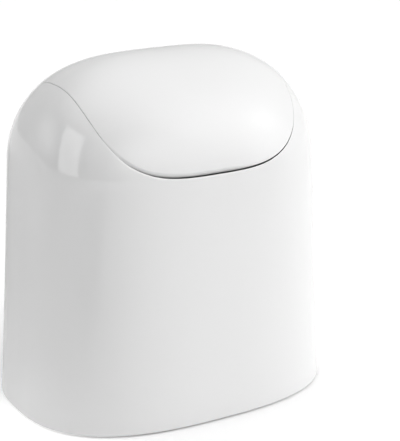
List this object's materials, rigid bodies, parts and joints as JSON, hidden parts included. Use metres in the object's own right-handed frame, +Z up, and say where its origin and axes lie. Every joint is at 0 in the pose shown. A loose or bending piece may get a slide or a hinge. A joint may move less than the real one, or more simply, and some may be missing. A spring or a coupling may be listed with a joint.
{
  "type": "countertop trash can with swing lid",
  "caption": "Small free-standing kitchen bin: a lift-off domed cover with a self-closing swing lid over a removable inner bucket.",
  "frame": {"origin": "on the counter, under the middle of the can", "axes": "+Z up, -Y out of the front, +X to the right as seen from the front; the lid swings about X"},
  "size_m": [0.166, 0.12, 0.1739],
  "materials": {
    "shell_white": "gloss moulded, pale grey white",
    "tray_grey": "fine satin, light grey",
    "bucket_grey": "satin, mid grey",
    "bracket_white": "satin white",
    "acetal": "smooth natural acetal",
    "steel": "plain zinc-plated or stainless steel",
    "silicone": "soft matte silicone"
  },
  "bodies": {
    "base": {"base_tray": "tray_grey", "foot_front_left": "silicone", "foot_front_right": "silicone", "foot_rear_left": "silicone", "foot_rear_right": "silicone"},
    "bucket": {"inner_bucket": "bucket_grey"},
    "ring": {"bag_ring": "bucket_grey"},
    "cover": {"outer_shell": "shell_white", "pivot_bracket_left": "bracket_white", "pivot_bracket_right": "bracket_white", "pivot_bush_left": "acetal", "pivot_bush_right": "acetal", "bracket_screws_left": "steel", "bracket_screws_right": "steel"},
    "lid": {"swing_lid": "shell_white", "pivot_pin_left": "steel", "pivot_pin_right": "steel", "lid_weight_left": "steel", "lid_weight_right": "steel", "stop_sleeve_left": "silicone", "stop_sleeve_right": "silicone"}
  },
  "joints": [
    {"name": "bucket_lift", "type": "slide", "parent": "base", "child": "bucket", "axis": [0, 0, 1], "range_m": [0, 0.03]},
    {"name": "ring_lift", "type": "slide", "parent": "bucket", "child": "ring", "axis": [0, 0, 1], "range_m": [0, 0.02]},
    {"name": "cover_lift", "type": "slide", "parent": "ring", "child": "cover", "axis": [0, 0, 1], "range_m": [0, 0.12]},
    {"name": "lid_swing", "type": "hinge", "parent": "cover", "child": "lid", "pos_m": [0, 0, 0.15116], "axis": [1, 0, 0], "range_deg": [-55, 55]}
  ]
}
